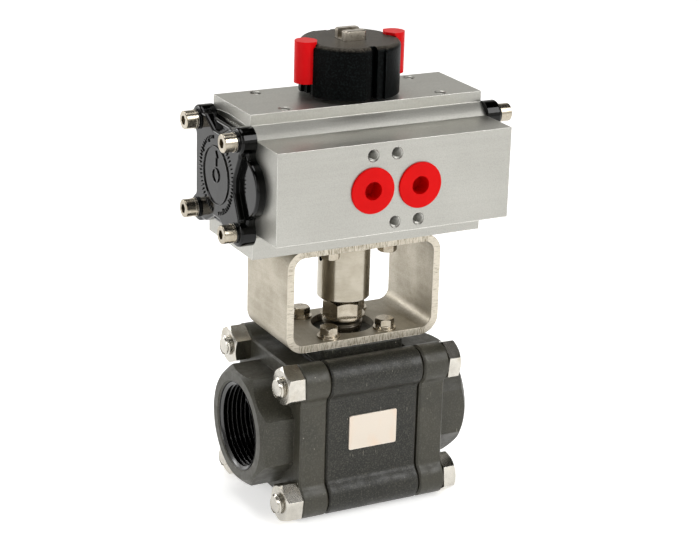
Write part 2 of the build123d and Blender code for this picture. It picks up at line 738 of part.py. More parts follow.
def make_pinion():
    """Drive shaft with its teeth, journals, lower drive socket and slotted top."""
    shaft = [  # (low, high, radius)
        (BASE_Z + 0.5, CYL_Z - 13, 10.9), (CYL_Z + 13, TOP_Z + 1.0, 9.0), (TOP_Z + 1.0, TOP_Z + 2.4, 8.0),
        (TOP_Z + 2.4, TOP_Z + 15.2, 9.0)]
    with BuildPart() as pinion:
        extrude(pinion_teeth(Plane.XY.offset(CYL_Z - 13.2)), amount=26.4)
        for low, high, radius in shaft:
            with BuildSketch(Plane.XY.offset(low)):
                Circle(radius)
            extrude(amount=high - low)
        with BuildSketch(Plane.XY.offset(TOP_Z + 15)):
            Rectangle(PINION_SQ, PINION_SQ)
            Circle(7.2, mode=Mode.INTERSECT)
        extrude(amount=SHAFT_TOP_Z - TOP_Z - 15)
        chamfer(pinion.faces().sort_by(Axis.Z)[-1].edges(), 0.5)
        with BuildSketch(Plane.XY.offset(SHAFT_TOP_Z)):
            Rectangle(20, 4)
        extrude(amount=-4, mode=Mode.SUBTRACT)
        with BuildSketch(Plane.XY.offset(SHAFT_TOP_Z)):
            Circle(2.5)
        extrude(amount=-16, mode=Mode.SUBTRACT)
        with BuildSketch(Plane.XY.offset(BASE_Z)):
            Rectangle(PINION_SQ + 0.2, PINION_SQ + 0.2)
        extrude(amount=14, mode=Mode.SUBTRACT)
        for level, radius in ((CYL_Z - 20.5, 10.9), (CYL_Z + 20.0, 9.0)):
            with BuildSketch(Plane.XY.offset(level - 0.9)):
                Circle(radius + 1)
                Circle(radius - 1.4, mode=Mode.SUBTRACT)
            extrude(amount=1.8, mode=Mode.SUBTRACT)
    save(pinion.part, "pinion")


def make_pinion_orings():
    with BuildPart() as rings:
        for level, radius in ((CYL_Z - 20.5, 10.9), (CYL_Z + 20.0, 9.0)):
            with Locations((0, 0, level)):
                Torus(radius - 0.6, 0.75)
    save(rings.part, "pinion_orings")


def make_snap_ring():
    """Open retaining ring in the shaft groove above the top plate."""
    with BuildPart() as snap:
        with BuildSketch(Plane.XY.offset(TOP_Z + 1.1)):
            Circle(10.8)
            Circle(8.1, mode=Mode.SUBTRACT)
            with Locations((10, 0)):
                Rectangle(6, 4, mode=Mode.SUBTRACT)
        extrude(amount=1.2)
    save(snap.part, "snap_ring")


def make_indicator_cap():
    """Hollow cap keyed on the shaft, with four flats and slots for the coloured inserts."""
    height = INDICATOR_HIGH - INDICATOR_LOW
    quarters = [Rotation(0, 0, 90 * turn + INDICATOR_TURN) for turn in range(4)]
    with BuildPart() as cap:
        with BuildSketch(Plane.XY.offset(INDICATOR_LOW)):
            Circle(INDICATOR_R)
            for quarter in quarters:
                with Locations(quarter):
                    with Locations((FLAT_X + 2, 0)):
                        Rectangle(4, 2 * FLAT_HALF_W, mode=Mode.SUBTRACT)
        extrude(amount=height)
        fillet(cap.faces().sort_by(Axis.Z)[-1].edges(), 2.4)
        with BuildSketch(Plane.XY.offset(INDICATOR_LOW)):
            for quarter in quarters:
                with Locations(quarter):
                    with Locations((FLAT_X - 1, 0)):
                        Rectangle(4, SLOT_W)
        extrude(amount=height, mode=Mode.SUBTRACT)
        with BuildSketch(Plane.XY.offset(INDICATOR_LOW)):
            Circle(17.2)
        extrude(amount=height - 3.5, mode=Mode.SUBTRACT)
        with BuildSketch(Plane.XY.offset(INDICATOR_HIGH - 10)):
            Circle(11)
        extrude(amount=8)
        with BuildSketch(Plane.XY.offset(INDICATOR_LOW)):
            Rectangle(PINION_SQ + 0.1, PINION_SQ + 0.1)
            Circle(7.3, mode=Mode.INTERSECT)
        extrude(amount=30, mode=Mode.SUBTRACT)
    save(cap.part, "indicator_cap")


def make_insert(side, name):
    """Red pointer: a rounded block outside, a tongue in the cap's slot and a hook over the rim."""
    inner = FLAT_X + 0.05
    outer = 24.2
    half = 5.2
    with BuildPart() as insert:
        with BuildSketch(Plane.XY.offset(INSERT_LOW)):
            with BuildLine():
                Line((side * inner, -half), (side * inner, half))
                Line((side * inner, half), (side * outer, half))
                ThreePointArc((side * outer, half), (side * 28.6, 0), (side * outer, -half))
                Line((side * outer, -half), (side * inner, -half))
            make_face()
            with Locations((side * (FLAT_X - 1), 0)):
                Rectangle(3.0, SLOT_W - 0.1)
        extrude(amount=INSERT_HIGH - INSERT_LOW)
        right_half = [(inner + 1, half), (inner - 0.6, half), (18.4, 1.4)]
        hook = right_half + [(x, -y) for x, y in reversed(right_half)]
        with BuildSketch(Plane.XY.offset(INDICATOR_HIGH + 0.05)):
            with BuildLine():
                Polyline(*[(side * x, y) for x, y in hook], close=True)
            make_face()
        extrude(amount=INSERT_HIGH - INDICATOR_HIGH - 0.05)
    save(insert.part.rotate(Axis.Z, INDICATOR_TURN), name)


def make_port_plug(side, name):
    with BuildPart() as plug:
        with BuildSketch(FRONT_PLANE):
            with Locations((side * PORT_X, 0)):
                Circle(10.7)
        extrude(amount=1.0)
        chamfer(plug.faces().sort_by(Axis.Y)[0].edges(), 0.3)
        with BuildSketch(FRONT_PLANE):
            with Locations((side * PORT_X, 0)):
                Circle(PORT_R - 0.05)
        extrude(amount=-8)
        with BuildSketch(FRONT_PLANE.offset(1.0)):
            with Locations((side * PORT_X, 0)):
                Circle(4.25)
        extrude(amount=-8, mode=Mode.SUBTRACT)
    save(plug.part, name)


# ---------------------------------------------------------------- build everything
make_valve_body()
make_ball()
make_stem()
make_packing()
make_disc_springs()
make_lock_washer()
make_stem_nut()
make_body_bolts()
make_body_nuts()
make_nameplate()
ring("stem_thrust_washer", SHAFT_Z + 0.05, 1.1, COLLAR_R - 0.05, STEM_R + 0.05)
ring("gland_ring", GLAND_Z, 6.5, COLLAR_R - 0.05, STEM_R + 0.1, 0.4)

make_bracket()
make_coupling()
make_set_screw()
floor = PAD_Z + BRACKET_T
roof = BASE_Z - BRACKET_T
lower = [Plane(origin=(a, b, floor)) for a, b in corners(F04)]
make_washers("pad_flat_washers", lower, FLAT_WASHER_T, 5.5)
middle = [p.offset(FLAT_WASHER_T) for p in lower]
make_washers("pad_spring_washers", middle, SPRING_WASHER_T, 4.4, gap_angle=200)
make_hex_screws("pad_screws", floor + FLAT_WASHER_T + SPRING_WASHER_T, 1, 17, (10, 24, 3, 40))
upper = [Plane(origin=(a, b, roof), x_dir=(1, 0, 0), z_dir=(0, 0, -1)) for a, b in corners(F04)]
make_washers("actuator_spring_washers", upper, SPRING_WASHER_T, 4.4, gap_angle=200)
make_hex_screws("actuator_screws", roof - SPRING_WASHER_T, -1, 14, (12, 31, 8, 20))

make_actuator_body()
make_pinion()
make_pinion_orings()
ring("pinion_bearing_lower", BASE_Z + 0.6, 6.0, 11.95, 10.95)
ring("pinion_bearing_upper", TOP_Z - 7.0, 7.0, 10.45, 9.05)
ring("pinion_thrust_washer", TOP_Z + 0.05, 0.9, 11.5, 9.05)
make_snap_ring()
make_indicator_cap()
for side, word in ((-1, "left"), (1, "right")):
    make_pipe_end(side, f"pipe_end_{word}")
    make_seal(side, f"body_seal_{word}")
    make_seat(side, f"seat_{word}")
    make_end_cap(side, f"end_cap_{word}")
    torus_ring(yz(CYL_YZ, side, ACT_HALF - 1.15), BORE_R - 0.62, 0.6, f"cap_seal_{word}")
    bosses = [Plane(origin=(side * CAP_BOSS, a, CYL_Z + b), x_dir=(0, 1, 0), z_dir=(side, 0, 0))
              for a, b in corners(CAP_BOLT)]
    make_washers(f"cap_washers_{word}", bosses, SPRING_WASHER_T, 4.4, gap_angle=250)
    make_cap_screws(side, f"cap_screws_{word}")
    make_piston(side, f"piston_{word}")
    torus_ring(yz(CYL_YZ, side, PISTON_OUT - 3.35), BORE_R - 1.15, 1.05, f"piston_oring_{word}")
    make_piston_band(side, f"piston_band_{word}")
    make_rack_pad(side, f"rack_pad_{word}")
    make_insert(side, f"indicator_insert_{word}")
    make_port_plug(side, f"port_plug_{word}")
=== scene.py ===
import json
from math import cos, pi, radians, sin

import bpy
from mathutils import Matrix, Vector


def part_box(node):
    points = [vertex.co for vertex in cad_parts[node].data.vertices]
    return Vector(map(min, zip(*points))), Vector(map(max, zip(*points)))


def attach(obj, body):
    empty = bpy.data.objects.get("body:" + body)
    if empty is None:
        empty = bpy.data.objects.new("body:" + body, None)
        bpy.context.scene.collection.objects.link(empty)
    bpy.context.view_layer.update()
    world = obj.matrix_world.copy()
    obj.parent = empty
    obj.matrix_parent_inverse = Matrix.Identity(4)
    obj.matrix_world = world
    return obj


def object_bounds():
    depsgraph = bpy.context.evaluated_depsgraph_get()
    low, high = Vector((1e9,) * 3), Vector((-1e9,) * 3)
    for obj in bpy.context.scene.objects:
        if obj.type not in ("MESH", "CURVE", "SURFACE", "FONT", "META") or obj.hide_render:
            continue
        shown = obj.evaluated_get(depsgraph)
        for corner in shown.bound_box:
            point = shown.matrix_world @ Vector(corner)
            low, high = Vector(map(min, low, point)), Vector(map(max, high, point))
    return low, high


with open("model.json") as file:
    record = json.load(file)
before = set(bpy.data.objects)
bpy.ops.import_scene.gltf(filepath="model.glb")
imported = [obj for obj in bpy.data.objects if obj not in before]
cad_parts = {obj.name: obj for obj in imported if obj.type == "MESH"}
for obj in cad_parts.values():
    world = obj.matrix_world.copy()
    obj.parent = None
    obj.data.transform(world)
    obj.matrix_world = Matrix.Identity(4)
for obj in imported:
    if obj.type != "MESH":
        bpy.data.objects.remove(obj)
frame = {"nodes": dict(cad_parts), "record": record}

cad_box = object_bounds()
MM = 0.001


# ---------------------------------------------------------------- places read from the frame
def span(node, axis):
    """Lowest and highest value of a node along one axis, in metres."""
    low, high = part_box(node)
    return low[axis], high[axis]


def middle(node):
    low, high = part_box(node)
    return (low + high) / 2


FLOW_Z = middle("ball").z
CYL_Z = middle("end_cap_left").z
BASE_Z, TOP_Z = span("actuator_body", 2)
FRONT_Y = span("actuator_body", 1)[0]
PORT_X = middle("port_plug_right").x
PIPE_END_X = span("pipe_end_right", 0)[1]
STUD_END_X = span("body_bolts", 0)[0]
NUT_FACE_X = span("body_nuts", 0)[0]
STEM_NUT_TOP = span("stem_nut", 2)[1]

# sizes of the CAD that its boxes don't give
CAP_FACE_X = 66.4 * MM          # flat face of an end cap, below its screw bosses
BOLT_POS = 29.3 * MM            # body bolts from the pipe axis, both ways
BORE_R = 21.2 * MM              # just over the threaded bore of a pipe end
TOP_HOLE_X = 40 * MM            # tapped holes in the top plate, from the shaft's axis
TOP_HOLE_Y = 15 * MM
PORT_HOLE_Z = 16 * MM           # tapped holes beside the air ports, above and below their axis

# threads: radius where the ridge stands on the wall, radius of its crest, pitch
PIPE_THREAD = (21.0 * MM, 19.5 * MM, 2.309 * MM)
TAPPED_THREAD = (2.53 * MM, 2.1 * MM, 0.8 * MM)
BOLT_THREAD = (4.2 * MM, 4.95 * MM, 1.5 * MM)
STEM_THREAD = (5.2 * MM, 5.95 * MM, 1.25 * MM)
THREAD_INSET = 0.7 * MM         # a thread in a hole starts this far in
START_TURN = pi / 3             # a ridge starts this far back from the first cross axis
RIDGE = ((-1, 0), (-0.42, 0.62), (-0.14, 1), (0.14, 1), (0.42, 0.62), (1, 0))   # across, height


# ---------------------------------------------------------------- material building
def linear(red, green, blue):
    """A colour given in display values, 0 to 255, as the linear colour that a shader takes."""
    return tuple((v / 255) ** 2.2 for v in (red, green, blue)) + (1.0,)


class Finish:
    """One material: a principled shader and short names for the nodes that feed it."""

    def __init__(self, name, **sockets):
        self.material = bpy.data.materials.new(name)
        self.material.use_nodes = True
        self.tree = self.material.node_tree
        self.shader = self.tree.nodes["Principled BSDF"]
        for socket, value in sockets.items():
            self.shader.inputs[socket.replace("_", " ")].default_value = value
        coordinates = self.tree.nodes.new("ShaderNodeTexCoord")
        self.place = coordinates.outputs["Object"]
        self.facing = coordinates.outputs["Normal"]
        self.normal = None

    def feed(self, socket, value):
        """Link an output to a socket, or set a plain value on it."""
        if isinstance(value, bpy.types.NodeSocket):
            self.tree.links.new(value, socket)
        else:
            socket.default_value = value

    def maths(self, operation, *values):
        node = self.tree.nodes.new("ShaderNodeMath")
        node.operation = operation
        for socket, value in zip(node.inputs, values):
            self.feed(socket, value)
        return node.outputs[0]

    def axis(self, letter, vector=None):
        node = self.tree.nodes.new("ShaderNodeSeparateXYZ")
        self.feed(node.inputs[0], vector or self.place)
        return node.outputs["XYZ".index(letter)]

    def stretched(self, x, y, z):
        """The place, multiplied along each axis, so that a pattern lies in streaks."""
        node = self.tree.nodes.new("ShaderNodeVectorMath")
        node.operation = "MULTIPLY"
        self.feed(node.inputs[0], self.place)
        node.inputs[1].default_value = (x, y, z)
        return node.outputs[0]

    def noise(self, scale, detail=2.0, rough=0.5, vector=None):
        """Cloud pattern, 0 to 1; scale is in features per metre."""
        node = self.tree.nodes.new("ShaderNodeTexNoise")
        self.feed(node.inputs["Vector"], vector or self.place)
        node.inputs["Scale"].default_value = scale
        node.inputs["Detail"].default_value = detail
        node.inputs["Roughness"].default_value = rough
        return node.outputs["Fac"]

    def specks(self, scale, size, share):
        """Mask of small dots, size in cells, on a share of the cells."""
        cells = self.tree.nodes.new("ShaderNodeTexVoronoi")
        self.feed(cells.inputs["Vector"], self.place)
        cells.inputs["Scale"].default_value = scale
        near = self.maths("LESS_THAN", cells.outputs["Distance"], size)
        chosen = self.maths("LESS_THAN", self.axis("X", cells.outputs["Color"]), share)
        return self.maths("MULTIPLY", near, chosen)

    def spread(self, value, low, high, new_low=0.0, new_high=1.0):
        """Map a value smoothly from one range to another, clamped."""
        node = self.tree.nodes.new("ShaderNodeMapRange")
        node.interpolation_type = "SMOOTHSTEP"
        for socket, number in zip(node.inputs, (value, low, high, new_low, new_high)):
            self.feed(socket, number)
        return node.outputs[0]

    def blend(self, share, first, second):
        """Colour between two colours."""
        node = self.tree.nodes.new("ShaderNodeMix")
        node.data_type = "RGBA"
        self.feed(node.inputs[0], share)
        self.feed(node.inputs[6], first)
        self.feed(node.inputs[7], second)
        return node.outputs[2]

    def rounded(self, radius):
        """Round the shading of every edge, and return a mask that is 1 along the edges."""
        bevel = self.tree.nodes.new("ShaderNodeBevel")
        bevel.samples = 6
        bevel.inputs["Radius"].default_value = radius
        self.normal = bevel.outputs[0]
        flat = self.tree.nodes.new("ShaderNodeNewGeometry").outputs["Normal"]
        product = self.tree.nodes.new("ShaderNodeVectorMath")
        product.operation = "DOT_PRODUCT"
        self.feed(product.inputs[0], bevel.outputs[0])
        self.feed(product.inputs[1], flat)
        return self.spread(product.outputs["Value"], 0.995, 0.82)

    def bump(self, height, depth):
        """Raise the surface by a 0 to 1 pattern, depth in metres, over what was raised before."""
        node = self.tree.nodes.new("ShaderNodeBump")
        node.inputs["Strength"].default_value = 1.0
        node.inputs["Distance"].default_value = depth
        self.feed(node.inputs["Height"], height)
        if self.normal is not None:
            self.feed(node.inputs["Normal"], self.normal)
        self.normal = node.outputs[0]

    def done(self, colour, roughness):
        self.feed(self.shader.inputs["Base Color"], colour)
        self.feed(self.shader.inputs["Roughness"], roughness)
        if self.normal is not None:
            self.feed(self.shader.inputs["Normal"], self.normal)
        return self.material


# ---------------------------------------------------------------- finishes
def phosphated(name, dark, light, grain, oiled_shaded_bore=False):
    """Black phosphated steel: satin, slightly mottled, with a few pale nicks and rubbed edges."""
    m = Finish(name, Metallic=0.0, IOR=1.42)
    edge = m.rounded(0.22 * MM)
    cloud = m.noise(55, 4, 0.6)
    fine = m.noise(1400, 3, 0.75)
    colour = m.blend(m.spread(cloud, 0.3, 0.7), dark, light)
    colour = m.blend(m.spread(fine, 0.46, 0.72, 0.0, 0.6), colour, linear(84, 83, 73))
    rubbed = m.maths("MULTIPLY", edge, m.spread(m.noise(160, 3), 0.35, 0.65, 0.15, 0.8))
    colour = m.blend(rubbed, colour, linear(118, 114, 102))
    patches = m.spread(m.noise(40, 2), 0.5, 0.62)
    nicks = m.maths("MULTIPLY", m.specks(520, 0.15, 0.045), patches)
    colour = m.blend(m.maths("MULTIPLY", nicks, 0.6), colour, linear(170, 164, 150))
    scratch = m.noise(1.0, 2, 0.6, m.stretched(1300, 1300, 160))
    colour = m.blend(m.spread(scratch, 0.70, 0.76, 0.0, 0.5), colour, linear(150, 146, 132))
    rough = m.spread(m.noise(240, 4, 0.65), 0.3, 0.7, 0.34, 0.52)
    if oiled_shaded_bore:
        # painted shade: inside the bore the colour is near black, as shade inside the pipe; only the lower
        # roughness there is the oil
        across = m.axis("Y")
        up = m.maths("SUBTRACT", m.axis("Z"), FLOW_Z)
        squares = m.maths("ADD", m.maths("MULTIPLY", across, across), m.maths("MULTIPLY", up, up))
        radius = m.maths("SQRT", squares)
        inside = m.maths("LESS_THAN", radius, BORE_R)
        colour = m.blend(inside, colour, linear(5, 5, 5))
        rough = m.maths("MULTIPLY", rough, m.spread(inside, 0.0, 1.0, 1.0, 0.5))
    m.bump(fine, grain)
    m.bump(m.noise(300, 3, 0.6), 0.05 * MM)
    return m.done(colour, rough)


def anodised(name):
    """Blasted and anodised aluminium extrusion: a fine even grain, slow clouds, and a painted highlight along
    the edges.
    """
    m = Finish(name, Metallic=1.0)
    edge = m.rounded(0.32 * MM)
    cloud = m.noise(26, 3, 0.5)
    grain = m.noise(1650, 4, 0.85)
    colour = m.blend(m.spread(cloud, 0.3, 0.7), linear(169, 168, 162), linear(175, 174, 168))
    colour = m.blend(m.spread(grain, 0.35, 0.7, 0.0, 0.3), colour, linear(120, 119, 113))
    lines = m.noise(1.0, 2, 0.5, m.stretched(8, 500, 500))
    colour = m.blend(m.spread(lines, 0.35, 0.7, 0.0, 0.035), colour, linear(225, 224, 219))
    # painted highlight: the edges are blended towards near white
    colour = m.blend(m.maths("MULTIPLY", edge, 0.8), colour, linear(240, 239, 234))
    rough = m.spread(grain, 0.2, 0.8, 0.34, 0.46)
    m.bump(grain, 0.02 * MM)
    return m.done(colour, rough)


def gloss_black(name):
    """Thick black coating on a casting: glossy, softly wavy, thin on the edges."""
    m = Finish(name, Metallic=0.0, IOR=1.34)
    edge = m.rounded(0.3 * MM)
    waves = m.noise(170, 2, 0.5)
    colour = m.blend(m.spread(m.noise(80, 3), 0.3, 0.7), linear(3, 4, 4), linear(7, 8, 7))
    colour = m.blend(m.maths("MULTIPLY", edge, 0.25), colour, linear(40, 41, 39))
    dust = m.specks(700, 0.11, 0.03)
    colour = m.blend(m.maths("MULTIPLY", dust, 0.5), colour, linear(120, 120, 116))
    rough = m.spread(m.noise(420, 4, 0.7), 0.3, 0.75, 0.05, 0.12)
    m.bump(waves, 0.05 * MM)
    m.bump(m.noise(1400, 2), 0.004 * MM)
    return m.done(colour, rough)


def moulded(name, colour_low, colour_high, rough_low, rough_high, grain,
            scale=1900, gloss=1.45, dust=None, fleck=None, rounding=0.2 * MM):
    """Plastic or rubber with a fine texture, and also graphite and oiled steel.

    The fleck colour lies on the peaks of the texture, and dust on the faces that look up; that dust colour is
    partly real dust and partly a painted sheen of the lit tops.
    """
    m = Finish(name, Metallic=0.0, IOR=gloss)
    edge = m.rounded(rounding)
    texture = m.noise(scale, 3, 0.75)
    colour = m.blend(m.spread(m.noise(70, 3), 0.3, 0.7), colour_low, colour_high)
    # painted highlight: the edges are blended a little lighter than the plastic
    colour = m.blend(m.maths("MULTIPLY", edge, 0.25), colour, tuple(min(1.0, 1.4 * c) for c in colour_high))
    if fleck:
        colour = m.blend(m.spread(texture, 0.46, 0.68), colour, fleck)
    if dust:
        # faces that look up take the dust colour: real dust, and also a painted sheen on the lit tops
        upward_dust_and_sheen = m.spread(m.axis("Z", m.facing), 0.3, 1.0)
        colour = m.blend(m.maths("MULTIPLY", upward_dust_and_sheen, m.spread(texture, 0.36, 0.62, 0.3, 1.0)), colour, dust)
    rough = m.spread(texture, 0.25, 0.75, rough_low, rough_high)
    m.bump(texture, grain)
    return m.done(colour, rough)


def machined(name, colour_low, colour_high, rough_low, rough_high, streaks, groove=0.004 * MM, stain=None):
    """Bare or plated metal: tool marks as streaks, faint clouds, and edges painted brighter as a highlight."""
    m = Finish(name, Metallic=1.0)
    edge = m.rounded(0.14 * MM)
    marks = m.noise(1.0, 4, 0.7, m.stretched(*streaks))
    cloud = m.noise(120, 3, 0.6)
    colour = m.blend(m.spread(cloud, 0.3, 0.7), colour_low, colour_high)
    if stain:
        colour = m.blend(m.spread(m.noise(95, 4, 0.6), 0.52, 0.72, 0.0, 0.45), colour, stain)
    dim = tuple(0.5 * c for c in colour_low[:3]) + (1,)
    colour = m.blend(m.spread(marks, 0.4, 0.8, 0.0, 0.15), colour, dim)
    # painted highlight: the edges are blended towards near white
    colour = m.blend(m.maths("MULTIPLY", edge, 0.4), colour, linear(240, 237, 230))
    rough = m.spread(marks, 0.25, 0.75, rough_low, rough_high)
    m.bump(marks, groove)
    return m.done(colour, rough)


def bracket_finish(name):
    """Cut length of stainless tube: dull rolled faces, and bright striated saw-cut edges."""
    half = span("mounting_bracket", 0)[1]
    m = Finish(name, Metallic=1.0)
    edge = m.rounded(0.3 * MM)
    cloud = m.noise(60, 4, 0.6)
    fine = m.noise(1500, 4, 0.75)
    colour = m.blend(m.spread(cloud, 0.32, 0.68), linear(163, 156, 141), linear(186, 179, 165))
    colour = m.blend(m.spread(fine, 0.4, 0.75, 0.0, 0.3), colour, linear(118, 110, 94))
    rolled = m.noise(1.0, 3, 0.6, m.stretched(420, 40, 420))
    colour = m.blend(m.spread(rolled, 0.4, 0.7, 0.0, 0.1), colour, linear(226, 221, 209))
    # the cut faces look along Y; their marks run across the sheet's thickness, and are fainter down the sides
    cut = m.maths("GREATER_THAN", m.maths("ABSOLUTE", m.axis("Y", m.facing)), 0.7)
    side = m.maths("GREATER_THAN", m.maths("ABSOLUTE", m.axis("X")), half - 6.5 * MM)
    along_x = m.noise(1.0, 3, 0.8, m.stretched(2100, 60, 300))
    along_z = m.noise(1.0, 3, 0.8, m.stretched(300, 60, 2100))
    marks = m.maths("ADD", m.blend(side, along_x, along_z), m.maths("MULTIPLY", side, 0.09))
    cut_colour = m.blend(m.spread(marks, 0.34, 0.6), linear(132, 124, 106), linear(204, 197, 183))
    colour = m.blend(cut, colour, cut_colour)
    # painted highlight: the edges are blended towards near white
    colour = m.blend(m.maths("MULTIPLY", edge, 0.45), colour, linear(238, 234, 223))
    rough = m.spread(fine, 0.25, 0.75, 0.44, 0.6)
    m.bump(fine, 0.012 * MM)
    m.bump(m.maths("MULTIPLY", cut, marks), 0.05 * MM)
    return m.done(colour, rough)


def plate_finish(name):
    """Bright plate with soft warm stains, and a painted highlight along its edges."""
    m = Finish(name, Metallic=0.75)
    edge = m.rounded(0.3 * MM)
    warm = m.spread(m.noise(1.0, 2, 0.5, m.stretched(110, 60, 50)), 0.48, 0.75, 0.0, 0.7)
    colour = m.blend(warm, linear(212, 202, 189), linear(218, 195, 174))
    fine = m.noise(1500, 3, 0.7)
    colour = m.blend(m.spread(fine, 0.4, 0.8, 0.0, 0.12), colour, linear(190, 176, 160))
    # painted highlight: the edges are blended towards near white
    colour = m.blend(m.maths("MULTIPLY", edge, 0.4), colour, linear(255, 250, 240))
    m.bump(fine, 0.01 * MM)
    return m.done(colour, m.spread(fine, 0.2, 0.8, 0.36, 0.46))


def make_finishes():
    """One material for each slot of the record, and two more for the pipe ends and their threads."""
    along = (30, 700, 700)          # streaks along X
    round_z = (240, 240, 1600)      # turning marks round Z
    every_way = (260, 260, 260)
    return {
        "phosphated_steel": phosphated("phosphated_steel", linear(27, 27, 23), linear(36, 35, 30),
                                       0.05 * MM),
        "phosphated_ends": phosphated("phosphated_ends", linear(52, 51, 44), linear(60, 58, 50), 0.045 * MM,
                                      oiled_shaded_bore=True),
        # painted shade: the threads are near black, far darker than the steel, as shade inside the bore; their
        # gloss is the oil
        "shaded_oiled_threads": moulded("shaded_oiled_threads", linear(3, 3, 3), linear(7, 7, 6), 0.17, 0.23, 0.001 * MM,
                                 scale=1400, gloss=1.75),
        "graphite": moulded("graphite", linear(38, 38, 40), linear(50, 50, 52), 0.5, 0.7, 0.02 * MM),
        "ptfe": moulded("ptfe", linear(236, 234, 226), linear(243, 241, 234), 0.38, 0.5, 0.01 * MM,
                        scale=900),
        "stainless": machined("stainless", linear(158, 149, 133), linear(182, 174, 159), 0.17, 0.3, every_way,
                              stain=linear(122, 104, 80)),
        "zinc_steel": machined("zinc_steel", linear(184, 180, 171), linear(204, 200, 191), 0.2, 0.24, every_way,
                               groove=0.0005 * MM, stain=linear(158, 147, 127)),
        "nameplate": plate_finish("nameplate"),
        "bracket_steel": bracket_finish("bracket_steel"),
        "anodised_aluminium": anodised("anodised_aluminium"),
        "black_coated_aluminium": gloss_black("black_coated_aluminium"),
        "nitrile": moulded("nitrile", linear(20, 20, 21), linear(29, 29, 30), 0.45, 0.6, 0.01 * MM),
        "acetal": moulded("acetal", linear(232, 229, 219), linear(240, 237, 228), 0.3, 0.42, 0.008 * MM,
                          scale=900),
        "red_plug": moulded("red_plug", linear(192, 4, 7), linear(199, 5, 8), 0.42, 0.55, 0.01 * MM,
                            scale=1100, gloss=1.2),
        "nickel_steel": machined("nickel_steel", linear(158, 150, 137), linear(186, 179, 166), 0.24, 0.4,
                                 every_way),
        "spring_steel": machined("spring_steel", linear(120, 112, 98), linear(156, 148, 132), 0.26, 0.42,
                                 round_z),
        # the dust colour on this plastic is partly dust and partly a painted sheen on the tops
        "black_plastic": moulded("black_plastic", linear(2, 3, 4), linear(4, 6, 6), 0.28, 0.46, 0.17 * MM,
                                 scale=1150, gloss=1.13, dust=linear(78, 73, 66), fleck=linear(24, 29, 29),
                                 rounding=1.0 * MM),
        "red_plastic": moulded("red_plastic", linear(196, 1, 13), linear(204, 2, 16), 0.34, 0.46, 0.008 * MM,
                               scale=1300, gloss=1.2),
        "turned_steel": machined("turned_steel", linear(160, 153, 138), linear(172, 165, 151), 0.15, 0.24,
                                 round_z, groove=0.003 * MM),
        "ball_steel": machined("ball_steel", linear(214, 212, 206), linear(226, 224, 219), 0.06, 0.12, along,
                               groove=0.002 * MM),
        "cast_aluminium": machined("cast_aluminium", linear(176, 175, 170), linear(196, 195, 190), 0.34, 0.5,
                                   round_z),
    }


def paint(finishes):
    """Give every carried-over node the material of its slot."""
    ends = ("pipe_end_left", "pipe_end_right")
    for part in frame["record"]["subparts"]:
        finish = "phosphated_ends" if part["node"] in ends else part["material_slot"]
        mesh = frame["nodes"][part["node"]].data
        mesh.materials.clear()
        mesh.materials.append(finishes[finish])


# ---------------------------------------------------------------- mesh helpers
class Shape:
    """Vertices and faces gathered from several simple parts of one piece."""

    def __init__(self):
        self.points = []
        self.faces = []

    def strip(self, rows, closed_row=True, caps=True):
        """Skin a list of equal rows of points."""
        start = len(self.points)
        count = len(rows[0])
        for row in rows:
            self.points.extend(row)
        last = count if closed_row else count - 1
        for i in range(len(rows) - 1):
            for j in range(last):
                a = start + i * count + j
                b = start + i * count + (j + 1) % count
                self.faces.append((a, b, b + count, a + count))
        if caps:
            self.faces.append(tuple(start + j for j in reversed(range(count))))
            self.faces.append(tuple(start + (len(rows) - 1) * count + j for j in range(count)))

    def piece(self, name, material, body, smooth=True):
        mesh = bpy.data.meshes.new(name)
        mesh.from_pydata(self.points, [], self.faces)
        mesh.validate()
        mesh.materials.append(material)
        obj = bpy.data.objects.new(name, mesh)
        bpy.context.scene.collection.objects.link(obj)
        bpy.context.view_layer.objects.active = obj
        obj.select_set(True)
        bpy.ops.object.mode_set(mode="EDIT")
        bpy.ops.mesh.select_all(action="SELECT")
        bpy.ops.mesh.normals_make_consistent(inside=False)
        bpy.ops.object.mode_set(mode="OBJECT")
        if smooth:
            bpy.ops.object.shade_smooth_by_angle(angle=radians(35))
        obj.select_set(False)
        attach(obj, body)
        return obj


def cross_axes(direction):
    """Two unit vectors square to a direction."""
    direction = Vector(direction).normalized()
    helper = Vector((0, 0, 1)) if abs(direction.z) < 0.9 else Vector((1, 0, 0))
    first = direction.cross(helper).normalized()
    return direction, first, direction.cross(first)


def add_thread(shape, start, direction, length, root, crest, pitch, steps=40):
    """A helical ridge along an axis; root and crest are radii, and the ridge fades out at both ends."""
    along, first, second = cross_axes(direction)
    turns = length / pitch
    total = int(turns * steps)
    half_width = 0.46 * pitch
    fade_steps = steps / 3
    rows = []
    for i in range(total + 1):
        angle = 2 * pi * i / steps - START_TURN
        outward = first * cos(angle) + second * sin(angle)
        fade = min(1.0, i / fade_steps, (total - i) / fade_steps)
        centre = Vector(start) + along * (pitch * i / steps)
        row = []
        for offset, height in RIDGE:
            radius = root + (crest - root) * height * fade
            row.append(centre + along * (offset * half_width) + outward * radius)
        rows.append(row)
    shape.strip(rows)


def add_bar(shape, plane, points, low, high):
    """Extrude an outline given in a plane (origin, across, up, out) from low to high along out.

    The top is smaller than the outline, so that the edges of the bar slope.
    """
    origin, across, up, out = plane
    slope_depth = 0.12 * MM
    top_share = 0.82
    rows = []
    for level, shrink in ((low, 1.0), (high - slope_depth, 1.0), (high, top_share)):
        centre = sum((Vector(p) for p in points), Vector((0, 0))) / len(points)
        row = []
        for p in points:
            q = centre + (Vector(p) - centre) * shrink
            row.append(origin + across * q.x + up * q.y + out * level)
        rows.append(row)
    shape.strip(rows)


